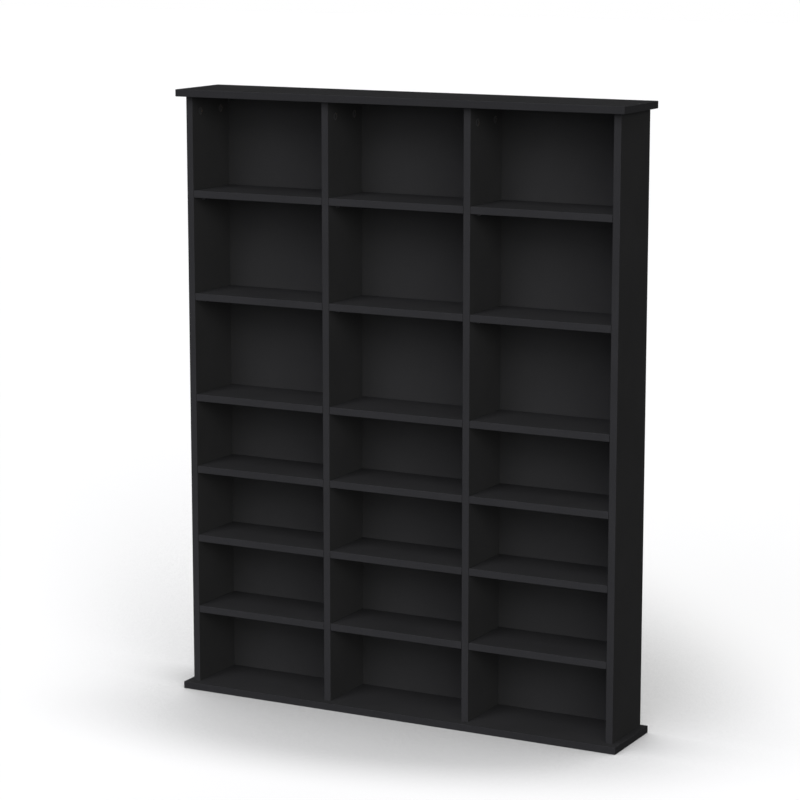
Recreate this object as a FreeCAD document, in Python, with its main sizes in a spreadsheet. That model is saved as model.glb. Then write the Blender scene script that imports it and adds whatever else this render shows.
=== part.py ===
import FreeCAD, Part
import os
import types

import Sketcher
from FreeCAD import Placement, Rotation, Vector

# Open media cabinet: three columns of loose shelves between a top and a base board.
# Millimetres, +Z up, front towards -Y, origin under the middle of the base.

os.makedirs("parts", exist_ok=True)
doc = FreeCAD.newDocument("MediaCabinet")

columns = ("left", "middle", "right")
row_count = 7
shelf_count = row_count - 1

# Driving sizes: name, millimetres, meaning
driving_sizes = (
    ("board", 15, "thickness of every board and shelf"),
    ("column_clear", 309, "clear width of a column"),
    ("row_clear_1", 197, "clear height of the top row"),
    ("row_clear_2", 203, "second row"),
    ("row_clear_3", 202, "third row"),
    ("row_clear_4", 141, "fourth row"),
    ("row_clear_5", 136, "fifth row"),
    ("row_clear_6", 142, "sixth row"),
    ("row_clear_7", 154, "clear height of the bottom row"),
    ("upright_depth", 145, "front to rear of the sides and dividers"),
    ("front_overhang", 19, "top and base past the front of the uprights"),
    ("side_overhang", 14.5, "top and base past the outer faces of the sides"),
    ("back_thickness", 3, "back panel sheet"),
    ("back_recess", 2, "back panels in from the rear edges of top and base"),
    ("back_side_inset", 4, "back panels in from the outer faces of the sides"),
    ("back_seam_gap", 1, "between two back panels"),
    ("back_end_gap", 0.05, "back panels to the top and to the base"),
    ("shelf_side_gap", 0.75, "shelf end to upright"),
    ("shelf_rear_gap", 1.5, "shelf to back panel"),
    ("support_peg", 5, "diameter of a shelf support's peg"),
    ("support_fit", 0.1, "peg to hole, on the radius"),
    ("support_inset", 37, "peg to the front or rear edge of an upright"),
    ("support_drop", 4, "peg centre below the shelf"),
    ("support_meeting_gap", 1, "between two pegs that share a hole in a divider"),
    ("support_reach", 9, "how far a support reaches under its shelf"),
    ("support_width", 8, "support, front to rear"),
    ("support_lip", 2, "thickness of a support's tip"),
    ("support_heel", 3.5, "thickness of a support where it meets the upright"),
    ("support_margin", 1, "support below its peg"),
    ("fixing_inset", 32, "cams and screws to the front or rear edge of an upright"),
    ("cam_diameter", 15, "cam lock"),
    ("cam_fit", 0.1, "cam to bore, on the radius"),
    ("cam_skin", 2.5, "board left behind a cam, with the gap"),
    ("cam_end_gap", 0.3, "cam to the bottom of its bore"),
    ("cam_drop", 32, "cam centre below the top board"),
    ("cross_length", 8, "driver recess, end to end"),
    ("cross_width", 1.6, "driver recess arm"),
    ("cross_depth", 2.2, "driver recess"),
    ("bolt_head", 7, "diameter of a cam bolt's head"),
    ("bolt_head_height", 3.6, "cam bolt's head"),
    ("bolt_neck", 4, "diameter of a cam bolt's neck"),
    ("bolt_shank", 6.5, "diameter of a cam bolt's shank"),
    ("bolt_thread", 5, "diameter of a cam bolt's thread"),
    ("bolt_slack", 0.7, "cam bolt in its cam and in its bore, on the radius"),
    ("bolt_fit", 0.1, "cam bolt's thread to its hole, on the radius"),
    ("dowel_diameter", 8, "wooden dowel"),
    ("dowel_fit", 0.1, "dowel to hole, on the radius"),
    ("dowel_depth", 20, "dowel in an upright"),
    ("dowel_chamfer", 1, "dowel ends"),
    ("dowel_end_gap", 0.5, "dowel to the bottom of its hole"),
    ("face_skin", 4, "board left over a blind hole in top or base"),
    ("screw_head", 10, "diameter of a base screw's head"),
    ("screw_shank", 7, "diameter of a base screw's shank"),
    ("screw_thread", 5, "diameter of a base screw's thread"),
    ("screw_bite", 35, "base screw in an upright"),
    ("screw_tip", 3, "base screw's point"),
    ("screw_recess", 0.4, "base screw's head in from the underside"),
    ("screw_fit", 0.1, "base screw to its hole, on the radius"),
    ("socket_flats", 4, "hexagon socket in a base screw"),
    ("socket_depth", 3, "hexagon socket in a base screw"),
    ("nail_diameter", 1.6, "back panel nail"),
    ("nail_head", 3.6, "diameter of a nail's head"),
    ("nail_head_height", 0.8, "nail's head"),
    ("nail_bite", 15, "nail in an upright"),
    ("nail_tip", 2, "nail's point"),
    ("nail_fit", 0.05, "nail to its hole, on the radius"),
    ("nail_end_inset", 40, "first and last nail to the ends of an upright"),
    ("nail_count", 8, "nails along one edge of a back panel"),
)

sheet = doc.addObject("Spreadsheet::Sheet", "Sizes")
for line, (name, millimetres, meaning) in enumerate(driving_sizes, start=1):
    sheet.set(f"A{line}", name)
    sheet.set(f"B{line}", str(millimetres))
    sheet.setAlias(f"B{line}", name)
    sheet.set(f"C{line}", meaning)
doc.recompute()

# Each name stands for its cell in an expression
dim = types.SimpleNamespace(**{name: f"Sizes.{name}" for name, _, _ in driving_sizes})


def value(expression):
    return float(sheet.evalExpression(expression))


# Sizes worked out from the driving ones
rows = [f"Sizes.row_clear_{row}" for row in range(1, row_count + 1)]
upright_count = len(columns) + 1
column_step = f"({dim.column_clear} + {dim.board})"
body_width = f"({len(columns)} * {column_step} + {dim.board})"
overall_width = f"({body_width} + 2 * {dim.side_overhang})"
rear_overhang = f"({dim.back_thickness} + {dim.back_recess})"
overall_depth = f"({dim.front_overhang} + {dim.upright_depth} + {rear_overhang})"
upright_height = f"({' + '.join(rows)} + {shelf_count} * {dim.board})"
upright_top = f"({dim.board} + {upright_height})"
upright_front = f"({dim.front_overhang} - {overall_depth} / 2)"
upright_rear = f"({upright_front} + {dim.upright_depth})"
upright_left = [f"({column} * {column_step} - {body_width} / 2)" for column in range(upright_count)]
half_board = f"({dim.board} / 2)"

shelf_width = f"({dim.column_clear} - 2 * {dim.shelf_side_gap})"
shelf_depth = f"({dim.upright_depth} - {dim.shelf_rear_gap})"
shelf_underside = []
for shelf in range(shelf_count):
    rows_below = rows[shelf + 1:]
    boards_below = len(rows_below)
    shelf_underside.append(f"({' + '.join(rows_below)} + {boards_below} * {dim.board})")

peg_length = f"(({dim.board} - {dim.support_meeting_gap}) / 2)"
peg_hole = f"({dim.support_peg} + 2 * {dim.support_fit})"
support_depths = (dim.support_inset, f"({dim.upright_depth} - {dim.support_inset})")
fixing_depths = (dim.fixing_inset, f"({dim.upright_depth} - {dim.fixing_inset})")
middle_depth = f"({dim.upright_depth} / 2)"

cam_depth = f"({dim.board} - {dim.cam_skin})"
cam_bore = f"({dim.cam_diameter} + 2 * {dim.cam_fit})"
bolt_bore = f"({dim.bolt_shank} + 2 * {dim.bolt_slack})"
bolt_hole = f"({dim.bolt_thread} + 2 * {dim.bolt_fit})"
dowel_hole = f"({dim.dowel_diameter} + 2 * {dim.dowel_fit})"
face_hole_depth = f"({dim.board} - {dim.face_skin})"
face_plug_depth = f"({face_hole_depth} - {dim.dowel_end_gap})"
screw_hole = f"({dim.screw_shank} + 2 * {dim.screw_fit})"
screw_pilot = f"({dim.screw_thread} + 2 * {dim.screw_fit})"
screw_sink = f"({dim.screw_head} + 2 * {dim.screw_recess} + 2 * {dim.screw_fit})"
nail_hole = f"({dim.nail_diameter} + 2 * {dim.nail_fit})"
nail_step = f"(({upright_height} - 2 * {dim.nail_end_inset}) / ({dim.nail_count} - 1))"

back_height = f"({upright_height} - 2 * {dim.back_end_gap})"
back_edge_bearing = f"(({dim.back_side_inset} + {dim.board}) / 2)"
back_seam_bearing = f"(({dim.board} + {dim.back_seam_gap}) / 4)"


# Building blocks
def bind(thing, **expressions):
    for path, expression in expressions.items():
        thing.setExpression(path.replace("__", "."), expression)


def place(thing, x, y, z):
    bind(thing, Placement__Base__x=x, Placement__Base__y=y, Placement__Base__z=z)


def sketch_on(body, role, name, offset="0"):
    plane = next(feature for feature in body.Origin.OriginFeatures if feature.Role == role)
    sketch = body.newObject("Sketcher::SketchObject", name)
    sketch.AttachmentSupport = [(plane, "")]
    sketch.MapMode = "FlatFace"
    bind(sketch, AttachmentOffset__Base__z=offset)
    return sketch


# How a sketch numbers its axes, from -1 down, and the two ends of a line and the middle of a circle, from 1 up
level_axis = -1
upright_axis = level_axis - 1
start_point, end_point, centre_point = range(1, 4)
sketch_origin = (level_axis, start_point)


def fix_point(sketch, geometry, point, across, up):
    for kind, expression, axis in (("DistanceX", across, upright_axis), ("DistanceY", up, level_axis)):
        if expression == "0":
            sketch.addConstraint(Sketcher.Constraint("PointOnObject", geometry, point, axis))
            continue
        rule = Sketcher.Constraint(kind, *sketch_origin, geometry, point, value(expression))
        index = sketch.addConstraint(rule)
        sketch.setExpression(f"Constraints[{index}]", expression)


def polygon(sketch, points):
    corners = [Vector(value(across), value(up), 0) for across, up in points]
    sides = [sketch.addGeometry(Part.LineSegment(start, end))
             for start, end in zip(corners, corners[1:] + corners[:1])]
    for side, following in zip(sides, sides[1:] + sides[:1]):
        sketch.addConstraint(Sketcher.Constraint("Coincident", side, end_point, following, start_point))
    for side, (across, up) in zip(sides, points):
        fix_point(sketch, side, start_point, across, up)


def circles(sketch, centres, diameter):
    radius = value(diameter) / 2
    first = None
    for across, up in centres:
        centre = Vector(value(across), value(up), 0)
        ring = sketch.addGeometry(Part.Circle(centre, Vector(0, 0, 1), radius))
        fix_point(sketch, ring, centre_point, across, up)
        if first is None:
            first = ring
            index = sketch.addConstraint(Sketcher.Constraint("Diameter", ring, 2 * radius))
            sketch.setExpression(f"Constraints[{index}]", diameter)
        else:
            sketch.addConstraint(Sketcher.Constraint("Equal", first, ring))


def pad(body, sketch, length, **settings):
    feature = body.newObject("PartDesign::Pad", f"{sketch.Name}_pad")
    feature.Profile = sketch
    bind(feature, Length=length)
    for name, setting in settings.items():
        setattr(feature, name, setting)
    return feature


def drill(body, role, name, centres, diameter, depth, offset="0", inward=True):
    sketch = sketch_on(body, role, name, offset)
    circles(sketch, centres, diameter)
    pocket = body.newObject("PartDesign::Pocket", f"{name}_pocket")
    pocket.Profile = sketch
    pocket.Reversed = inward
    bind(pocket, Length=depth)


def board(label, across, depth, height):
    body = doc.addObject("PartDesign::Body", label)
    outline = sketch_on(body, "XY_Plane", f"{label}_outline")
    polygon(outline, (("0", "0"), (across, "0"), (across, depth), ("0", depth)))
    pad(body, outline, height)
    return body


def turned(label, profile):
    body = doc.addObject("PartDesign::Body", label)
    outline = sketch_on(body, "XZ_Plane", f"{label}_profile")
    polygon(outline, profile)
    lathe = body.newObject("PartDesign::Revolution", f"{label}_turning")
    lathe.Profile = outline
    lathe.ReferenceAxis = (outline, ["V_Axis"])
    return body


def group(label, master, placements):
    feature = doc.addObject("Part::Feature", label)
    copies = []
    for placement in placements:
        copy = master.Shape.copy()
        copy.Placement = placement.multiply(master.Placement)
        copies.append(copy)
    feature.Shape = Part.makeCompound(copies)
    feature.Placement = Placement()
    return feature


# Uprights: two sides and two dividers, drilled for cams, bolts, dowels, screws, pegs and nails
def upright(label, index):
    body = board(label, dim.board, dim.upright_depth, upright_height)
    place(body, upright_left[index], upright_front, dim.board)
    outer_left = index == 0
    outer_right = index == upright_count - 1

    # Cams and pegs go in from the right face, and from the left face of the right side
    face = dict(inward=True) if outer_right else dict(offset=dim.board, inward=False)
    peg_depth = f"({peg_length} + {dim.support_meeting_gap})" if outer_left or outer_right else dim.board
    peg_centres = [(depth, f"({underside} - {dim.support_drop} - {dim.board})")
                   for underside in shelf_underside for depth in support_depths]
    drill(body, "YZ_Plane", f"{label}_peg_holes", peg_centres, peg_hole, peg_depth, **face)
    cam_centres = [(depth, f"({upright_height} - {dim.cam_drop})") for depth in fixing_depths]
    drill(body, "YZ_Plane", f"{label}_cam_bores", cam_centres, cam_bore,
          f"({cam_depth} + {dim.cam_end_gap})", **face)

    # Top and bottom edges
    edge_centres = [(half_board, depth) for depth in fixing_depths]
    dowel_centre = [(half_board, middle_depth)]
    dowel_bore = f"({dim.dowel_depth} + {dim.dowel_end_gap})"
    over = dict(offset=upright_height, inward=False)
    drill(body, "XY_Plane", f"{label}_bolt_bores", edge_centres, bolt_bore, dim.cam_drop, **over)
    drill(body, "XY_Plane", f"{label}_top_dowel", dowel_centre, dowel_hole, dowel_bore, **over)
    drill(body, "XY_Plane", f"{label}_screw_holes", edge_centres, screw_pilot, dim.screw_bite)
    drill(body, "XY_Plane", f"{label}_base_dowel", dowel_centre, dowel_hole, dowel_bore)

    # Rear edge
    nail_centres = [(across, up) for across in nail_lines(index) for up in nail_heights()]
    drill(body, "XZ_Plane", f"{label}_nail_holes", nail_centres, nail_hole, dim.nail_bite,
          offset=f"-{dim.upright_depth}")
    return body


def nail_heights():
    count = round(value(dim.nail_count))
    return [f"({dim.nail_end_inset} + {nail} * {nail_step})" for nail in range(count)]


# Nail lines on an upright's rear edge, from its left face
def nail_lines(index):
    if index == 0:
        return [back_edge_bearing]
    if index == upright_count - 1:
        return [f"({dim.board} - {back_edge_bearing})"]
    return [f"({half_board} - {back_seam_bearing})", f"({half_board} + {back_seam_bearing})"]


upright_labels = ("left_side", "left_divider", "right_divider", "right_side")
uprights = [upright(label, index) for index, label in enumerate(upright_labels)]

# Places of the fixings on the top and base, from their front left corners
fixing_across = [f"({left} + {overall_width} / 2 + {half_board})" for left in upright_left]
fixing_points = [(across, f"({dim.front_overhang} + {depth})")
                 for across in fixing_across for depth in fixing_depths]
dowel_points = [(across, f"({dim.front_overhang} + {middle_depth})") for across in fixing_across]


def cap_board(label, height):
    body = board(label, overall_width, overall_depth, dim.board)
    place(body, f"-{overall_width} / 2", f"-{overall_depth} / 2", height)
    return body


top = cap_board("top_board", upright_top)
drill(top, "XY_Plane", "top_bolt_holes", fixing_points, bolt_hole, face_hole_depth)
drill(top, "XY_Plane", "top_dowel_holes", dowel_points, dowel_hole, face_hole_depth)

base = cap_board("base_board", "0")
drill(base, "XY_Plane", "base_dowel_holes", dowel_points, dowel_hole, face_hole_depth,
      offset=dim.board, inward=False)
screw_sketch = sketch_on(base, "XY_Plane", "base_screw_holes")
circles(screw_sketch, fixing_points, screw_hole)
doc.recompute()
screw_holes = base.newObject("PartDesign::Hole", "base_screw_sinks")
screw_holes.Profile = screw_sketch
screw_holes.Reversed = True
screw_holes.DepthType = "ThroughAll"
screw_holes.HoleCutType = "Countersink"
screw_holes.HoleCutCustomValues = True
screw_holes.HoleCutCountersinkAngle = 90
bind(screw_holes, Diameter=screw_hole, HoleCutDiameter=screw_sink)

# Shelves, flush with the fronts of the uprights, numbered from the top
shelves = []
for column, side in enumerate(columns):
    for shelf, underside in enumerate(shelf_underside):
        body = board(f"shelf_{side}_{shelf + 1}", shelf_width, shelf_depth, dim.board)
        place(body, f"({upright_left[column]} + {dim.board} + {dim.shelf_side_gap})", upright_front, underside)
        shelves.append(body)


# Back panels meet on the middles of the dividers
def back_panel(column):
    label = f"back_panel_{columns[column]}"
    seam = f"({half_board} + {dim.back_seam_gap} / 2)"
    left_edge = dim.back_side_inset if column == 0 else seam
    last = column == len(columns) - 1
    right_edge = f"({dim.board} - {dim.back_side_inset})" if last else f"({seam} - {dim.back_seam_gap})"
    width = f"({column_step} + {right_edge} - {left_edge})"
    body = board(label, width, dim.back_thickness, back_height)
    place(body, f"({upright_left[column]} + {left_edge})", upright_rear, f"({dim.board} + {dim.back_end_gap})")
    left_line = nail_lines(column)[-1]
    right_line = nail_lines(column + 1)[0]
    across = (f"({left_line} - {left_edge})", f"({column_step} + {right_line} - {left_edge})")
    centres = [(line, f"({up} - {dim.back_end_gap})") for line in across for up in nail_heights()]
    drill(body, "XZ_Plane", f"{label}_nail_holes", centres, nail_hole, dim.back_thickness, inward=False)
    return body


backs = [back_panel(column) for column in range(len(columns))]

# Dowel: one turned peg with chamfered ends
dowel_length = f"({dim.dowel_depth} + {face_plug_depth})"
dowel_radius = f"({dim.dowel_diameter} / 2)"
dowel_nose = f"({dowel_radius} - {dim.dowel_chamfer})"
dowel = turned("dowel_master", (
    ("0", "0"), (dowel_nose, "0"), (dowel_radius, dim.dowel_chamfer),
    (dowel_radius, f"({dowel_length} - {dim.dowel_chamfer})"), (dowel_nose, dowel_length), ("0", dowel_length)))

# Cam bolt, from its head up
neck_end = f"({dim.bolt_head_height} / 2 + {dim.cam_diameter} / 2)"
shank_end = f"({dim.bolt_head_height} / 2 + {dim.cam_drop})"
thread_end = f"({shank_end} + {face_plug_depth})"
bolt = turned("bolt_master", (
    ("0", "0"), (f"{dim.bolt_head} / 2", "0"), (f"{dim.bolt_head} / 2", dim.bolt_head_height),
    (f"{dim.bolt_neck} / 2", dim.bolt_head_height), (f"{dim.bolt_neck} / 2", neck_end),
    (f"{dim.bolt_shank} / 2", neck_end), (f"{dim.bolt_shank} / 2", shank_end),
    (f"{dim.bolt_thread} / 2", shank_end), (f"{dim.bolt_thread} / 2", thread_end), ("0", thread_end)))

# Base screw, from its countersunk head up
sink_height = f"(({dim.screw_head} - {dim.screw_shank}) / 2)"
shoulder = f"({dim.board} - {dim.screw_recess})"
screw_end = f"({shoulder} + {dim.screw_bite})"
screw = turned("screw_master", (
    ("0", "0"), (f"{dim.screw_head} / 2", "0"), (f"{dim.screw_shank} / 2", sink_height),
    (f"{dim.screw_shank} / 2", shoulder), (f"{dim.screw_thread} / 2", shoulder),
    (f"{dim.screw_thread} / 2", f"({screw_end} - {dim.screw_tip})"), ("0", screw_end)))
socket_sketch = sketch_on(screw, "XY_Plane", "screw_socket")
socket_corners = [(f"({dim.socket_flats} / sqrt(3) * cos({turn} deg))",
                   f"({dim.socket_flats} / sqrt(3) * sin({turn} deg))") for turn in range(30, 390, 60)]
polygon(socket_sketch, socket_corners)
socket = screw.newObject("PartDesign::Pocket", "screw_socket_pocket")
socket.Profile = socket_sketch
socket.Reversed = True
bind(socket, Length=dim.socket_depth)

# Back panel nail, from its head
nail_end = f"({dim.nail_head_height} + {dim.back_thickness} + {dim.nail_bite})"
nail = turned("nail_master", (
    ("0", "0"), (f"{dim.nail_head} / 2", "0"), (f"{dim.nail_head} / 2", dim.nail_head_height),
    (f"{dim.nail_diameter} / 2", dim.nail_head_height),
    (f"{dim.nail_diameter} / 2", f"({nail_end} - {dim.nail_tip})"), ("0", nail_end)))

# Shelf support for a left upright: a peg to the left, a lip under the shelf to the right
support = doc.addObject("PartDesign::Body", "support_master")
support_side = sketch_on(support, "XZ_Plane", "support_side")
support_foot = f"-({dim.support_drop} + {dim.support_peg} / 2 + {dim.support_margin})"
polygon(support_side, (
    ("0", "0"), (dim.support_reach, "0"), (dim.support_reach, f"-{dim.support_lip}"),
    (dim.support_heel, support_foot), ("0", support_foot)))
pad(support, support_side, dim.support_width, Midplane=True)
peg_end = sketch_on(support, "YZ_Plane", "support_peg_end")
circles(peg_end, [("0", f"-{dim.support_drop}")], dim.support_peg)
pad(support, peg_end, peg_length, Reversed=True)


# Cam lock for a face that looks to +X: driver cross in front, bolt cavity behind
def part_object(kind, name, **expressions):
    thing = doc.addObject(f"Part::{kind}", name)
    bind(thing, **expressions)
    return thing


cam_radius = f"({dim.cam_diameter} / 2)"
head_room = f"({dim.bolt_head} / 2 + {dim.bolt_slack})"
slot_width = f"({dim.bolt_neck} + 2 * {dim.bolt_slack})"
cam_drum = part_object("Cylinder", "cam_drum", Radius=cam_radius, Height=cam_depth)
cam_drum.Placement.Rotation = Rotation(Vector(0, 1, 0), 90)
place(cam_drum, f"-{cam_depth}", "0", "0")
cross_flat = part_object("Box", "cam_cross_flat", Length=f"2 * {dim.cross_depth}",
                         Width=dim.cross_length, Height=dim.cross_width)
place(cross_flat, f"-{dim.cross_depth}", f"-{dim.cross_length} / 2", f"-{dim.cross_width} / 2")
cross_upright = part_object("Box", "cam_cross_upright", Length=f"2 * {dim.cross_depth}",
                            Width=dim.cross_width, Height=dim.cross_length)
place(cross_upright, f"-{dim.cross_depth}", f"-{dim.cross_width} / 2", f"-{dim.cross_length} / 2")
# The neck swings through a quarter slot, from the head's way in to the locked place
neck_slot = part_object("Box", "cam_neck_slot", Length=slot_width, Width=f"{cam_radius} + {slot_width} / 2",
                        Height=f"{cam_radius} + {slot_width} / 2")
place(neck_slot, f"-({half_board} + {slot_width} / 2)", f"-{cam_radius}", f"-{slot_width} / 2")
way_in = part_object("Cylinder", "cam_way_in", Radius=head_room, Height=dim.cam_diameter)
way_in.Placement.Rotation = Rotation(Vector(1, 0, 0), 90)
place(way_in, f"-{half_board}", "0", "0")
cavity = part_object("Sphere", "cam_cavity", Radius=head_room)
place(cavity, f"-{half_board}", "0", "0")
cam_cuts = doc.addObject("Part::MultiFuse", "cam_cuts")
cam_cuts.Shapes = [cross_flat, cross_upright, neck_slot, way_in, cavity]
cam = doc.addObject("Part::Cut", "cam_master")
cam.Base = cam_drum
cam.Tool = cam_cuts

doc.recompute()

# Where the fixings stand
front = value(upright_front)
upright_centres = [value(left) + value(half_board) for left in upright_left]
fixing_rows = [front + value(depth) for depth in fixing_depths]
middle_row = front + value(middle_depth)
half_turn = Rotation(Vector(0, 0, 1), 180)
upward = Rotation()
forward = Rotation(Vector(1, 0, 0), 90)


def stand(across, row, height, rotation=upward):
    return Placement(Vector(across, row, height), rotation)


cam_height = value(f"{upright_top} - {dim.cam_drop}")
bolt_height = cam_height - value(dim.bolt_head_height) / 2
cam_places = []
for index, left in enumerate(upright_left):
    on_left_face = index == upright_count - 1
    face = value(left) if on_left_face else value(f"{left} + {dim.board}")
    turn = half_turn if on_left_face else upward
    cam_places += [stand(face, row, cam_height, turn) for row in fixing_rows]

support_places = {side: [] for side in columns}
for column, side in enumerate(columns):
    left_face = value(f"{upright_left[column]} + {dim.board}")
    right_face = value(upright_left[column + 1])
    for underside in shelf_underside:
        for depth in support_depths:
            row = front + value(depth)
            support_places[side].append(stand(left_face, row, value(underside)))
            support_places[side].append(stand(right_face, row, value(underside), half_turn))

back_rear = value(f"{upright_rear} + {dim.back_thickness} + {dim.nail_head_height}")
nail_places = [stand(value(f"{upright_left[index]} + {line}"), back_rear, value(f"{dim.board} + {up}"), forward)
               for index in range(upright_count) for line in nail_lines(index) for up in nail_heights()]

top_dowel_height = value(f"{upright_top} - {dim.dowel_depth}")
base_dowel_height = value(f"{dim.board} - {face_plug_depth}")
groups = [
    group("cam_locks", cam, cam_places),
    group("cam_bolts", bolt, [stand(x, y, bolt_height) for x in upright_centres for y in fixing_rows]),
    group("top_dowels", dowel, [stand(x, middle_row, top_dowel_height) for x in upright_centres]),
    group("base_dowels", dowel, [stand(x, middle_row, base_dowel_height) for x in upright_centres]),
    group("base_screws", screw,
          [stand(x, y, value(dim.screw_recess)) for x in upright_centres for y in fixing_rows]),
    group("back_nails", nail, nail_places),
]
groups += [group(f"shelf_supports_{side}", support, support_places[side]) for side in columns]

# Checks, then one file for each piece
pieces = [top, base, *uprights, *shelves, *backs, *groups]
for thing in doc.Objects:
    if "Invalid" in thing.State or "Error" in thing.State:
        raise RuntimeError(f"{thing.Label} failed: {thing.State}")
    if thing.TypeId in ("PartDesign::Pocket", "PartDesign::Hole"):
        if thing.Shape.Volume >= thing.BaseFeature.Shape.Volume:
            raise RuntimeError(f"{thing.Label} cuts nothing")
for piece in pieces:
    if piece.Shape.isNull() or not piece.Shape.isValid():
        raise RuntimeError(f"{piece.Label} has no valid shape")
for piece in pieces:
    piece.Shape.exportStep(f"parts/{piece.Label}.step")
    print(piece.Label, len(piece.Shape.Solids), round(piece.Shape.Volume))
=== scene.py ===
# Open media cabinet in matt black laminated board: three columns of loose shelves, thin back
import math
import bmesh
import bpy
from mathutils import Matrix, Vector


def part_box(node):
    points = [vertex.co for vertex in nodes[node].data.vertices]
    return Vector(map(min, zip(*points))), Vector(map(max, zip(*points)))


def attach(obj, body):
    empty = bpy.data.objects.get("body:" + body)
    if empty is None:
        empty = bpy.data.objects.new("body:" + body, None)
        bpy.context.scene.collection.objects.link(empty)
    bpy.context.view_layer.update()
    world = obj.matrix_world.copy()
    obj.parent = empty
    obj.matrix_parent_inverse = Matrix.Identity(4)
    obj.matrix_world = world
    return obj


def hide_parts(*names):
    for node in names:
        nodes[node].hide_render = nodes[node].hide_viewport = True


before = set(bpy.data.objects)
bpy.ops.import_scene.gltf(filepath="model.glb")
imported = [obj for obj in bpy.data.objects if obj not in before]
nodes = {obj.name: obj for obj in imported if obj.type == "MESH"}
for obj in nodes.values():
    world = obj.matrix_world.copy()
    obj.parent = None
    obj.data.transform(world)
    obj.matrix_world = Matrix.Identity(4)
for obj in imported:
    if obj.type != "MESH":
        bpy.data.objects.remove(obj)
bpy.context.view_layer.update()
columns = ("left", "middle", "right")
shelfRows = range(1, 7)
print("frame loaded,", len(nodes), "nodes")


# shader maths: a Wire is one socket, and sums and products of wires add Math nodes
class Wire:
    def __init__(self, tree, socket):
        self.tree, self.socket = tree, socket

    def out(self, name):
        return Wire(self.tree, self.socket.node.outputs[name])

    def calc(self, operation, first, second):
        return addNode(self.tree, "ShaderNodeMath", {"operation": operation}, {0: first, 1: second})

    def __add__(self, other):
        return self.calc("ADD", self, other)

    def __radd__(self, other):
        return self.calc("ADD", other, self)

    def __sub__(self, other):
        return self.calc("SUBTRACT", self, other)

    def __rsub__(self, other):
        return self.calc("SUBTRACT", other, self)

    def __mul__(self, other):
        return self.calc("MULTIPLY", self, other)

    def __rmul__(self, other):
        return self.calc("MULTIPLY", other, self)

    def __truediv__(self, other):
        return self.calc("DIVIDE", self, other)

    def __rtruediv__(self, other):
        return self.calc("DIVIDE", other, self)

    def __pow__(self, other):
        return self.calc("POWER", self, other)

    def __rpow__(self, other):
        return self.calc("POWER", other, self)

    def __abs__(self):
        return self.calc("ABSOLUTE", self, 0.0)


# any node: its type, its settings first, then the values or links of its sockets
def addNode(tree, kind, settings=None, sockets=None, out=0):
    node = tree.nodes.new(kind)
    for key, value in (settings or {}).items():
        if key == "stops":
            for at, colour in value[1:-1]:
                node.color_ramp.elements.new(at)
            for stop, (at, colour) in zip(node.color_ramp.elements, value):
                stop.position, stop.color = at, (*colour, 1.0)
        else:
            setattr(node, key, value)
    for key, value in (sockets or {}).items():
        if isinstance(value, Wire):
            tree.links.new(value.socket, node.inputs[key])
        elif isinstance(value, tuple) and node.inputs[key].type == "RGBA":
            node.inputs[key].default_value = (*value, 1.0)
        else:
            node.inputs[key].default_value = value
    return Wire(tree, node.outputs[out]) if node.outputs else None


def startFinish(name):
    material = bpy.data.materials.new(name)
    material.use_nodes = True
    material.node_tree.nodes.clear()
    return material, material.node_tree


def closeFinish(tree, skin):
    surface = addNode(tree, "ShaderNodeBsdfPrincipled", None, skin)
    addNode(tree, "ShaderNodeOutputMaterial", None, {"Surface": surface})


def placeOn(tree):
    return addNode(tree, "ShaderNodeTexCoord", None, None, "Object")


def noiseOn(tree, place, scale, detail, roughness):
    return addNode(tree, "ShaderNodeTexNoise", None,
                   {"Vector": place, "Scale": scale, "Detail": detail, "Roughness": roughness})


def stretched(tree, place, factors):
    return addNode(tree, "ShaderNodeVectorMath", {"operation": "MULTIPLY"}, {0: place, 1: factors})


def partsOf(tree, vector):
    return addNode(tree, "ShaderNodeSeparateXYZ", None, {0: vector})


def larger(first, second):
    return first.calc("MAXIMUM", first, second)


def smaller(first, second):
    return first.calc("MINIMUM", first, second)


def blend(first, second, share):
    return first * share + second * (1.0 - share)


def mixColour(tree, factor, first, second):
    return addNode(tree, "ShaderNodeMix", {"data_type": "RGBA"}, {0: factor, 6: first, 7: second}, 2)


def toned(colour, tone):
    return tuple(channel * tone for channel in colour)


def remap(tree, value, span, newSpan=(0.0, 1.0)):
    return addNode(tree, "ShaderNodeMapRange", {"clamp": True},
                   {"Value": value, "From Min": span[0], "From Max": span[1],
                    "To Min": newSpan[0], "To Max": newSpan[1]})


def softStep(tree, value, low, high):
    return addNode(tree, "ShaderNodeMapRange", {"clamp": True, "interpolation_type": "SMOOTHSTEP"},
                   {"Value": value, "From Min": low, "From Max": high})


def bumpFrom(tree, height, strength, distance):
    return addNode(tree, "ShaderNodeBump", None,
                   {"Height": height, "Strength": strength, "Distance": distance})


# in the looks below a noise is scale, detail and roughness, and a bump is strength and distance
# the ranges that are spread to full contrast: of one noise, of one noise more gently,
# of a noise with a trace of another, and of two noises added
spans = {"one": (0.35, 0.65), "wide": (0.3, 0.7), "traced": (0.45, 0.85), "two": (0.7, 1.3)}
trace = 0.3

# rubbed arrises: how far a face is turned off the board's axes, where hands rub more, how much smoother
wearLook = {"turned": (0.02, 0.2), "span": (0.42, 0.62), "polish": 0.15}


# nothing on the flats, more on a rounded arris
def arrisMask(tree):
    parts = partsOf(tree, addNode(tree, "ShaderNodeTexCoord", None, None, "Normal"))
    across, deep, up = (abs(parts.out(axis)) for axis in "XYZ")
    return remap(tree, 1.0 - larger(larger(across, deep), up), wearLook["turned"])


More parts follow.
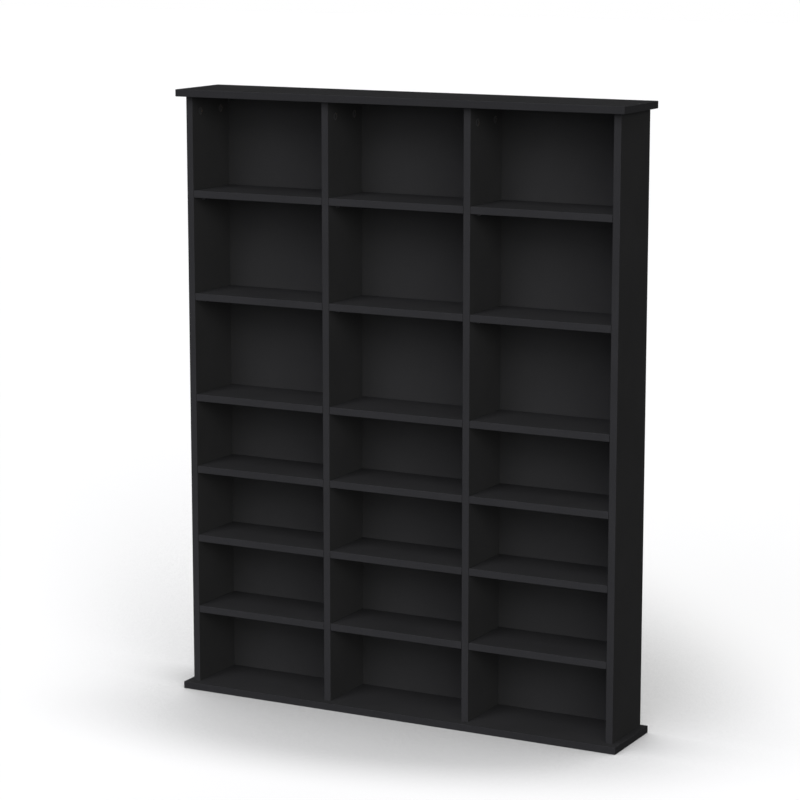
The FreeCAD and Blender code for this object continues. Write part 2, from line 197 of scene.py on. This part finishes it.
# pebbled laminate on the broad faces
laminateLook = {"dark": (0.0245, 0.0245, 0.0245), "pale": (0.0291, 0.0291, 0.0291),
                "roughness": (0.84, 0.94), "specular": 0.0,
                "grain": (1500.0, 3.0, 0.55), "stretch": (1.0, 1.0, 1.0), "bump": (0.22, 0.0003),
                "cloud": (7.0, 4.0, 0.6), "cloudShare": 0.6,
                "rubbed": (0.036, 0.036, 0.036), "handled": (91.0, 3.0, 0.6), "wear": (0.15, 0.8)}

# streaked band along the edges
bandLook = {"dark": (0.0216, 0.0216, 0.0225), "pale": (0.0256, 0.0256, 0.0267),
            "roughness": (0.80, 0.90), "specular": 0.014,
            "grain": (260.0, 3.0, 0.6), "stretch": (1.0, 4.0, 1.0), "bump": (0.15, 0.0002),
            "cloud": (11.0, 4.0, 0.6), "cloudShare": 0.5,
            "rubbed": (0.034, 0.034, 0.035), "handled": (85.0, 3.0, 0.5), "wear": (0.2, 0.9)}

# foil on the front of the back sheets, out of reach, so not rubbed
foilLook = {"dark": (0.0231, 0.0231, 0.0231), "pale": (0.0275, 0.0275, 0.0275),
            "roughness": (0.84, 0.94), "specular": 0.0,
            "grain": (900.0, 4.0, 0.6), "stretch": (1.0, 1.0, 1.0), "bump": (0.2, 0.0003),
            "cloud": (5.0, 4.0, 0.6), "cloudShare": 0.6}


def skinFinish(name, look, tone=1.0):
    material, tree = startFinish(name)
    place = placeOn(tree)
    grain = noiseOn(tree, stretched(tree, place, look["stretch"]), *look["grain"])
    cloud = noiseOn(tree, place, *look["cloud"])
    colour = mixColour(tree, remap(tree, blend(cloud, grain, look["cloudShare"]), spans["one"]),
                       toned(look["dark"], tone), toned(look["pale"], tone))
    roughness = remap(tree, cloud + trace * grain, spans["traced"], look["roughness"])
    if "rubbed" in look:
        handled = noiseOn(tree, place, *look["handled"])
        wear = arrisMask(tree) * remap(tree, handled, wearLook["span"], look["wear"])
        colour = mixColour(tree, wear, colour, look["rubbed"])
        roughness = roughness - wear * wearLook["polish"]
    closeFinish(tree, {"Base Color": colour, "Roughness": roughness, "Specular IOR Level": look["specular"],
                       "Normal": bumpFrom(tree, grain, *look["bump"])})
    return material


# cut edge of the raw board: pressed slivers, edged with dark seams
chipboardLook = {"chips": 210.0, "flatness": 3.2, "fine": (620.0, 5.0, 0.65),
                 "drift": (300.0, 3.0, 0.5), "driftBy": (0.0035, 0.0035, 0.0035),
                 "seam": (0.0, 0.09), "seamShade": (0.55, 1.0),
                 "chipShare": 0.5, "fineShare": 0.75, "darker": 0.1,
                 "roughness": (0.8, 0.95), "specular": 0.25, "bump": (0.6, 0.0004),
                 "stops": [(0.0, (0.085, 0.052, 0.029)), (0.35, (0.21, 0.14, 0.08)),
                           (0.7, (0.33, 0.235, 0.145)), (1.0, (0.43, 0.325, 0.215))]}


# the slivers lie flat in the board, so each way that a board stands has its own squeeze
def chipboardFinish(name, squeeze):
    look = chipboardLook
    material, tree = startFinish(name)
    place = placeOn(tree)
    drift = noiseOn(tree, place, *look["drift"]).out("Color")
    bent = addNode(tree, "ShaderNodeVectorMath", {"operation": "MULTIPLY_ADD"},
                   {0: drift, 1: look["driftBy"], 2: place})
    cells = {"Vector": stretched(tree, bent, squeeze), "Scale": look["chips"]}
    chip = addNode(tree, "ShaderNodeTexVoronoi", {"feature": "F1"}, cells, "Color")
    edge = addNode(tree, "ShaderNodeTexVoronoi", {"feature": "DISTANCE_TO_EDGE"}, cells)
    tone = addNode(tree, "ShaderNodeSeparateColor", None, {0: chip}, "Red")
    fine = noiseOn(tree, stretched(tree, place, squeeze), *look["fine"])
    seam = remap(tree, edge, look["seam"], look["seamShade"])
    shade = (look["chipShare"] * tone + look["fineShare"] * fine - look["darker"]) * seam
    colour = addNode(tree, "ShaderNodeValToRGB", {"stops": look["stops"]}, {0: shade})
    closeFinish(tree, {"Base Color": colour,
                       "Roughness": remap(tree, fine, spans["wide"], look["roughness"]),
                       "Specular IOR Level": look["specular"],
                       "Normal": bumpFrom(tree, tone * seam + fine, *look["bump"])})
    return material


# bare hardboard: felted fibres, and the print of the press screen on the rough face, in lines a metre
hardboardLook = {"dark": (0.170, 0.101, 0.054), "pale": (0.262, 0.168, 0.098),
                 "fibre": (380.0, 5.0, 0.65), "stretch": (1.0, 1.0, 0.35), "cloud": (9.0, 5.0, 0.6),
                 "cloudShare": 0.25, "span": (0.34, 0.66), "screen": 620.0, "screenShare": 0.25,
                 "roughness": (0.72, 0.9), "specular": 0.3, "bump": (0.5, 0.0003)}


def hardboardFinish(name, look):
    material, tree = startFinish(name)
    place = placeOn(tree)
    fibre = noiseOn(tree, stretched(tree, place, look["stretch"]), *look["fibre"])
    cloud = noiseOn(tree, place, *look["cloud"])
    parts, turns = partsOf(tree, place), look["screen"] * math.tau
    across, down = (parts.calc("SINE", parts.out(axis) * turns, 0.0) for axis in "XZ")
    colour = mixColour(tree, remap(tree, blend(cloud, fibre, look["cloudShare"]), look["span"]),
                       look["dark"], look["pale"])
    closeFinish(tree, {"Base Color": colour,
                       "Roughness": remap(tree, fibre, spans["wide"], look["roughness"]),
                       "Specular IOR Level": look["specular"],
                       "Normal": bumpFrom(tree, fibre + look["screenShare"] * across * down, *look["bump"])})
    return material


# dull black coat on the cast cams, worn a little paler where it was handled
camLook = {"dark": (0.022, 0.022, 0.022), "pale": (0.034, 0.034, 0.034), "span": (0.38, 0.62),
           "fine": (900.0, 4.0, 0.6), "broad": (240.0, 3.0, 0.6), "broadShare": 0.6,
           "roughness": (0.58, 0.70), "metallic": 0.0, "specular": 0.12, "bump": (0.3, 0.0002)}

# moulded supports with a spark-eroded texture
plasticLook = {"dark": (0.012, 0.012, 0.012), "pale": (0.017, 0.017, 0.018), "span": (0.35, 0.65),
               "fine": (1900.0, 3.0, 0.6), "broad": (160.0, 3.0, 0.5), "broadShare": 1.0,
               "roughness": (0.42, 0.58), "metallic": 0.0, "specular": 0.35, "bump": (0.25, 0.0002)}

# zinc plate on bolts and screws
plateLook = {"dark": (0.50, 0.50, 0.51), "pale": (0.66, 0.66, 0.68), "span": (0.35, 0.65),
             "fine": (700.0, 4.0, 0.6), "broad": (105.0, 4.0, 0.6), "broadShare": 1.0,
             "roughness": (0.22, 0.36), "metallic": 1.0, "specular": 0.5, "bump": (0.12, 0.0002)}

# drawn wire of the nails
nailLook = {"dark": (0.26, 0.26, 0.265), "pale": (0.42, 0.42, 0.43), "span": (0.35, 0.65),
            "fine": (1100.0, 4.0, 0.6), "broad": (165.0, 4.0, 0.6), "broadShare": 1.0,
            "roughness": (0.36, 0.52), "metallic": 1.0, "specular": 0.5, "bump": (0.3, 0.0002)}


def fittingFinish(name, look):
    material, tree = startFinish(name)
    place = placeOn(tree)
    fine, broad = noiseOn(tree, place, *look["fine"]), noiseOn(tree, place, *look["broad"])
    stain = remap(tree, blend(broad, fine, look["broadShare"]), look["span"])
    closeFinish(tree, {"Base Color": mixColour(tree, stain, look["dark"], look["pale"]),
                       "Roughness": remap(tree, fine + broad, spans["two"], look["roughness"]),
                       "Metallic": look["metallic"], "Specular IOR Level": look["specular"],
                       "Normal": bumpFrom(tree, fine, *look["bump"])})
    return material


# beech dowels: long grain with short dark flecks
beechLook = {"dark": (0.44, 0.265, 0.135), "pale": (0.62, 0.43, 0.25), "fleck": (0.30, 0.16, 0.08),
             "grain": (900.0, 5.0, 0.6), "grainStretch": (1.0, 1.0, 0.06),
             "flecks": (1700.0, 2.0, 0.5), "fleckStretch": (1.0, 1.0, 0.2), "fleckSpan": (0.6, 0.7),
             "roughness": (0.55, 0.72), "bump": (0.3, 0.0002)}


def beechFinish(name, look):
    material, tree = startFinish(name)
    place = placeOn(tree)
    grain = noiseOn(tree, stretched(tree, place, look["grainStretch"]), *look["grain"])
    flecks = noiseOn(tree, stretched(tree, place, look["fleckStretch"]), *look["flecks"])
    colour = mixColour(tree, remap(tree, grain, spans["one"]), look["dark"], look["pale"])
    closeFinish(tree, {
        "Base Color": mixColour(tree, remap(tree, flecks, look["fleckSpan"]), colour, look["fleck"]),
        "Roughness": remap(tree, grain, spans["wide"], look["roughness"]),
        "Normal": bumpFrom(tree, grain, *look["bump"])})
    return material


# the top and base have slightly paler faces and darker bands than the other boards
capTone = {"laminate": 1.05, "band": 0.9}
flatness = chipboardLook["flatness"]
finishes = {"laminate": skinFinish("blackLaminate", laminateLook),
            "band": skinFinish("blackEdgeBand", bandLook),
            "capLaminate": skinFinish("capLaminate", laminateLook, capTone["laminate"]),
            "capBand": skinFinish("capEdgeBand", bandLook, capTone["band"]),
            "chipboardFlat": chipboardFinish("rawChipboardFlat", (1.0, 1.0, flatness)),
            "chipboardUpright": chipboardFinish("rawChipboardUpright", (flatness, 1.0, 1.0)),
            "foil": skinFinish("blackBackFoil", foilLook),
            "hardboard": hardboardFinish("brownHardboard", hardboardLook),
            "castZinc": fittingFinish("blackenedZinc", camLook),
            "plastic": fittingFinish("blackMouldedPlastic", plasticLook),
            "plated": fittingFinish("zincPlate", plateLook),
            "nailSteel": fittingFinish("brightNail", nailLook),
            "beech": beechFinish("beechDowel", beechLook)}
print("finishes made,", len(finishes))


# boards: the solid's own faces with its bores, softened arrises, and a glued band let in along each front
# weld, flat, touch and clear are the mesh tolerances, and sideways tells side faces from broad ones
boardMake = {"arris": 0.0008, "steps": 3, "profile": 0.5, "band": 0.0012, "joint": 0.00012, "skin": 0.9,
             "weld": 1e-6, "flat": 0.002, "touch": 2e-5, "clear": 1e-5, "sideways": 0.3}


def meshFromSolid(name):
    bm = bmesh.new()
    bm.from_mesh(nodes[name].data)
    bmesh.ops.remove_doubles(bm, verts=bm.verts, dist=boardMake["weld"])
    bmesh.ops.dissolve_limit(bm, angle_limit=boardMake["flat"], verts=bm.verts, edges=bm.edges)
    return bm


def roundOff(bm, edges, width):
    bmesh.ops.bevel(bm, geom=edges, offset=width, offset_type="OFFSET", affect="EDGES",
                    segments=boardMake["steps"], profile=boardMake["profile"], clamp_overlap=False)


def liesOn(edge, axis, at):
    return all(abs(vert.co[axis] - at) < boardMake["touch"] for vert in edge.verts)


# wanted gets the two outer faces that meet in an arris, as {axis: 0 for the low side, 1 for the high}
def softenArrises(bm, lo, hi, wanted):
    picked = []
    for edge in bm.edges:
        planes = [(axis, side) for axis in range(3) for side, at in enumerate((lo[axis], hi[axis]))
                  if liesOn(edge, axis, at)]
        if len(planes) == 2 and wanted(dict(planes)):
            picked.append(edge)
    roundOff(bm, picked, boardMake["arris"])


# a fine vee where the band meets the board, pressed in along one line round the board
def bandJoint(bm, axis, at, keep):
    for offset in (-boardMake["joint"], 0.0, boardMake["joint"]):
        origin, normal = Vector((0, 0, 0)), Vector((0, 0, 0))
        origin[axis], normal[axis] = at + offset, 1.0
        bmesh.ops.bisect_plane(bm, geom=bm.verts[:] + bm.edges[:] + bm.faces[:],
                               plane_co=origin, plane_no=normal, dist=boardMake["weld"])
    bm.normal_update()
    for vert in bm.verts:
        if abs(vert.co[axis] - at) < boardMake["weld"] and keep(vert.co):
            inward = -vert.normal
            inward[axis] = 0.0
            if inward.length > boardMake["sideways"]:
                vert.co += inward.normalized() * boardMake["joint"]


# choose gives the place in keys of the finish for the face with this centre
def finishPiece(bm, name, body, keys, choose):
    bm.normal_update()
    for face in bm.faces:
        face.smooth = False
        face.material_index = choose(face.calc_center_median())
    mesh = bpy.data.meshes.new(name + "_dressed")
    bm.to_mesh(mesh)
    bm.free()
    for key in keys:
        mesh.materials.append(finishes[key])
    piece = bpy.data.objects.new(name + "_dressed", mesh)
    bpy.context.scene.collection.objects.link(piece)
    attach(piece, body)
    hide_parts(name)


def dressBoard(name, body, skins=("laminate", "band"), upright=False):
    lo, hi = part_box(name)
    bm = meshFromSolid(name)
    band, clear = boardMake["band"], boardMake["clear"]
    front, broad = lo[1] + band, 0 if upright else 2
    endJoints = () if upright else (lo[0] + band, hi[0] - band)
    if upright:   # they butt the top and base, so only their long front arrises are softened
        softenArrises(bm, lo, hi, lambda at: at.get(1) == 0 and 0 in at)
    else:         # all but the raw rear edge
        softenArrises(bm, lo, hi, lambda at: at.get(1) != 1)
    bandJoint(bm, 1, front, lambda co: True)
    for at in endJoints:
        bandJoint(bm, 0, at, lambda co: co[1] > front + clear)

    def choose(centre):
        atEnd = not upright and min(centre[0] - lo[0], hi[0] - centre[0]) < band
        if (centre[1] < front or atEnd) and centre[1] < hi[1] - clear:
            return 1
        depth = min(centre[broad] - lo[broad], hi[broad] - centre[broad])
        return 0 if depth < boardMake["arris"] * boardMake["skin"] else 2

    raw = "chipboardUpright" if upright else "chipboardFlat"
    finishPiece(bm, name, body, (*skins, raw), choose)


for name in ("top_board", "base_board"):
    dressBoard(name, "carcass", ("capLaminate", "capBand"))
for name in ("left_side", "left_divider", "right_divider", "right_side"):
    dressBoard(name, "carcass", upright=True)
for column in columns:
    for row in shelfRows:
        name = "shelf_%s_%d" % (column, row)
        dressBoard(name, name)
print("boards dressed")


# back sheets: black foil to the front, bare brown hardboard behind and on the cut edges
def dressBack(name):
    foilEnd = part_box(name)[0][1] + boardMake["clear"]
    finishPiece(meshFromSolid(name), name, "carcass", ("foil", "hardboard"),
                lambda centre: 0 if centre[1] < foilEnd else 1)


for column in columns:
    dressBack("back_panel_" + column)
print("backs dressed")


# fittings that show: the solid's own shape with its sharp rims eased, none of it outside the solid
easedFittings = {"cam_locks": {"finish": "castZinc", "slot": "black_zinc", "ease": 0.0002},
                 "back_nails": {"finish": "nailSteel", "slot": "nail_steel", "ease": 0.0003}}
supportMake = {"finish": "plastic", "slot": "black_plastic", "ease": 0.0006}
for column in columns:
    easedFittings["shelf_supports_" + column] = supportMake

# a rim is a sharp outer edge with at least one broad face beside it
rimMake = {"angle": math.radians(40.0), "share": 0.3}


def easeFitting(name, make):
    bm = meshFromSolid(name)
    broad = rimMake["share"] * max(face.calc_area() for face in bm.faces)
    rims = [edge for edge in bm.edges if len(edge.link_faces) == 2 and edge.is_convex
            and edge.calc_face_angle() > rimMake["angle"]
            and max(face.calc_area() for face in edge.link_faces) > broad]
    roundOff(bm, rims, make["ease"])
    finishPiece(bm, name, "carcass", (make["finish"],), lambda centre: 0)


for name, make in easedFittings.items():
    easeFitting(name, make)

# hidden fittings keep the solid as it is and get their finish
hiddenFittings = {"cam_bolts": "plated", "base_screws": "plated",
                  "top_dowels": "beech", "base_dowels": "beech"}
for name, key in hiddenFittings.items():
    for slot in nodes[name].material_slots:
        slot.material = finishes[key]
print("fittings finished")


# the lamps are wide soft boxes far off, each with its way round the cabinet and its share of full light
lampMake = {"width": 45.0, "distance": 5.0, "target": (0.0, 0.0, 0.65)}
coolLight, whiteLight = (0.975, 0.975, 1.05), (1.0, 1.0, 1.0)
lamps = {"keyLamp": {"azimuth": 0.0, "elevation": 45.0, "share": 0.60, "colour": coolLight},
         "leftLamp": {"azimuth": -15.0, "elevation": 8.0, "share": 0.38, "colour": coolLight},
         "rightLamp": {"azimuth": 45.0, "elevation": 8.0, "share": 0.68, "colour": whiteLight},
         "highLamp": {"azimuth": 0.0, "elevation": 88.0, "share": 0.12, "colour": whiteLight},
         "rearLamp": {"azimuth": -150.0, "elevation": 9.0, "share": 0.60, "colour": whiteLight}}

# the sky is white to the eye and lights only by its ambient share
skyLook = {"colour": (1.0, 1.0, 1.0), "ambient": 0.05}

# the floor is white to the eye, and grey for the light that it throws back on the cabinet
floorLook = {"size": 60.0, "grey": (0.15, 0.15, 0.15), "mottle": (3.0, 3.0, 0.5), "mottleTone": 0.995,
             "roughness": 0.9, "white": 1.04, "castShare": 0.2}

# its shade is the part of the sky that the cabinet hides, deeper farther behind, within a leaning oval
shadeLook = {"reach": 4.5, "samples": 3, "depth": 1.35, "deepen": 1.9,
             "across": 1.02, "front": 0.55, "rear": 3.4, "fadeStart": 0.54,
             "lean": 0.45, "turn": 12.0, "right": 0.05}


# what the camera and mirror-like finishes see of the surroundings
def seenDirectly(tree):
    seen = addNode(tree, "ShaderNodeLightPath", None, None, "Is Camera Ray")
    return larger(seen, larger(seen.out("Is Glossy Ray"), seen.out("Is Transmission Ray")))


def floorShade(tree, look):
    parts, turn = partsOf(tree, placeOn(tree)), math.radians(look["turn"])
    sideways, back = parts.out("X") - look["right"], parts.out("Y")
    level = sideways * math.cos(turn) + back * math.sin(turn)
    inward = back * math.cos(turn) - sideways * math.sin(turn)
    rearward, forward = larger(inward, 0.0), smaller(inward, 0.0)
    across = (level + look["lean"] * rearward) / look["across"]
    along = forward / look["front"] + rearward / look["rear"]
    near = 1.0 - softStep(tree, (across * across + along * along) ** 0.5, look["fadeStart"], 1.0)
    depth = look["depth"] + look["deepen"] * rearward
    openSky = addNode(tree, "ShaderNodeAmbientOcclusion", {"samples": look["samples"]},
                      {"Distance": look["reach"]}, "AO")
    return 1.0 - (1.0 - openSky ** depth) * near


def mixShader(tree, factor, first, second):
    return addNode(tree, "ShaderNodeMixShader", None, {0: factor, 1: first, 2: second})


def floorFinish(name, look):
    material, tree = startFinish(name)
    mottle = noiseOn(tree, placeOn(tree), *look["mottle"])
    paint = addNode(tree, "ShaderNodeBsdfPrincipled", None, {
        "Base Color": mixColour(tree, mottle, look["grey"], toned(look["grey"], look["mottleTone"])),
        "Roughness": look["roughness"], "Specular IOR Level": 0.0})
    fullLight = skyLook["ambient"] + sum(
        lamp["share"] * math.sin(math.radians(lamp["elevation"])) for lamp in lamps.values())
    lit = addNode(tree, "ShaderNodeBsdfDiffuse", None, {"Color": (look["white"] / fullLight,) * 3})
    white = addNode(tree, "ShaderNodeEmission", None, {"Color": (1.0, 1.0, 1.0), "Strength": 1.0})
    dark = addNode(tree, "ShaderNodeBsdfDiffuse", None, {"Color": (0.0, 0.0, 0.0)})
    bright = mixShader(tree, look["castShare"], white, lit)
    shaded = mixShader(tree, floorShade(tree, shadeLook), dark, bright)
    surface = mixShader(tree, seenDirectly(tree), paint, shaded)
    addNode(tree, "ShaderNodeOutputMaterial", None, {"Surface": surface})
    return material


def makeFloor():
    half = floorLook["size"] / 2
    corners = [(-half, -half, 0), (half, -half, 0), (half, half, 0), (-half, half, 0)]
    mesh = bpy.data.meshes.new("floor")
    mesh.from_pydata(corners, [], [(0, 1, 2, 3)])
    mesh.materials.append(floorFinish("paleFloor", floorLook))
    floor = bpy.data.objects.new("floor", mesh)
    bpy.context.scene.collection.objects.link(floor)


def makeSky(look):
    world = bpy.data.worlds.new("studio")
    bpy.context.scene.world = world
    world.use_nodes = True
    tree = world.node_tree
    tree.nodes.clear()
    dim, white = (addNode(tree, "ShaderNodeBackground", None, {"Color": look["colour"], "Strength": strength})
                  for strength in (look["ambient"], 1.0))
    addNode(tree, "ShaderNodeOutputWorld", None, {"Surface": mixShader(tree, seenDirectly(tree), dim, white)})


def aimAt(obj, target):
    obj.rotation_euler = (Vector(target) - obj.location).to_track_quat("-Z", "Y").to_euler()


def roundTo(azimuth, elevation, distance, target):
    around, up = math.radians(azimuth), math.radians(elevation)
    return Vector(target) + distance * Vector(
        (math.sin(around) * math.cos(up), -math.cos(around) * math.cos(up), math.sin(up)))


def makeLamp(name, look):
    light = bpy.data.lights.new(name, "SUN")
    light.angle = math.radians(lampMake["width"])
    light.energy = look["share"] * math.pi
    light.color = look["colour"]
    lamp = bpy.data.objects.new(name, light)
    bpy.context.scene.collection.objects.link(lamp)
    lamp.location = roundTo(look["azimuth"], look["elevation"], lampMake["distance"], lampMake["target"])
    aimAt(lamp, lampMake["target"])


makeFloor()
makeSky(skyLook)
for name, look in lamps.items():
    makeLamp(name, look)
print("floor and lamps set")


# camera, a long lens from the right and a little above
shot = {"target": (0.0118, -0.0655, 0.6774), "azimuth": 27.707, "elevation": 10.468, "distance": 5.6076,
        "lens": 123.32, "sensor": 36.0}
camera = bpy.data.objects.new("camera", bpy.data.cameras.new("camera"))
camera.data.lens, camera.data.sensor_width = shot["lens"], shot["sensor"]
bpy.context.scene.collection.objects.link(camera)
camera.location = roundTo(shot["azimuth"], shot["elevation"], shot["distance"], shot["target"])
aimAt(camera, shot["target"])
bpy.context.scene.camera = camera
bpy.context.scene.view_settings.view_transform = "Standard"
print("camera set")
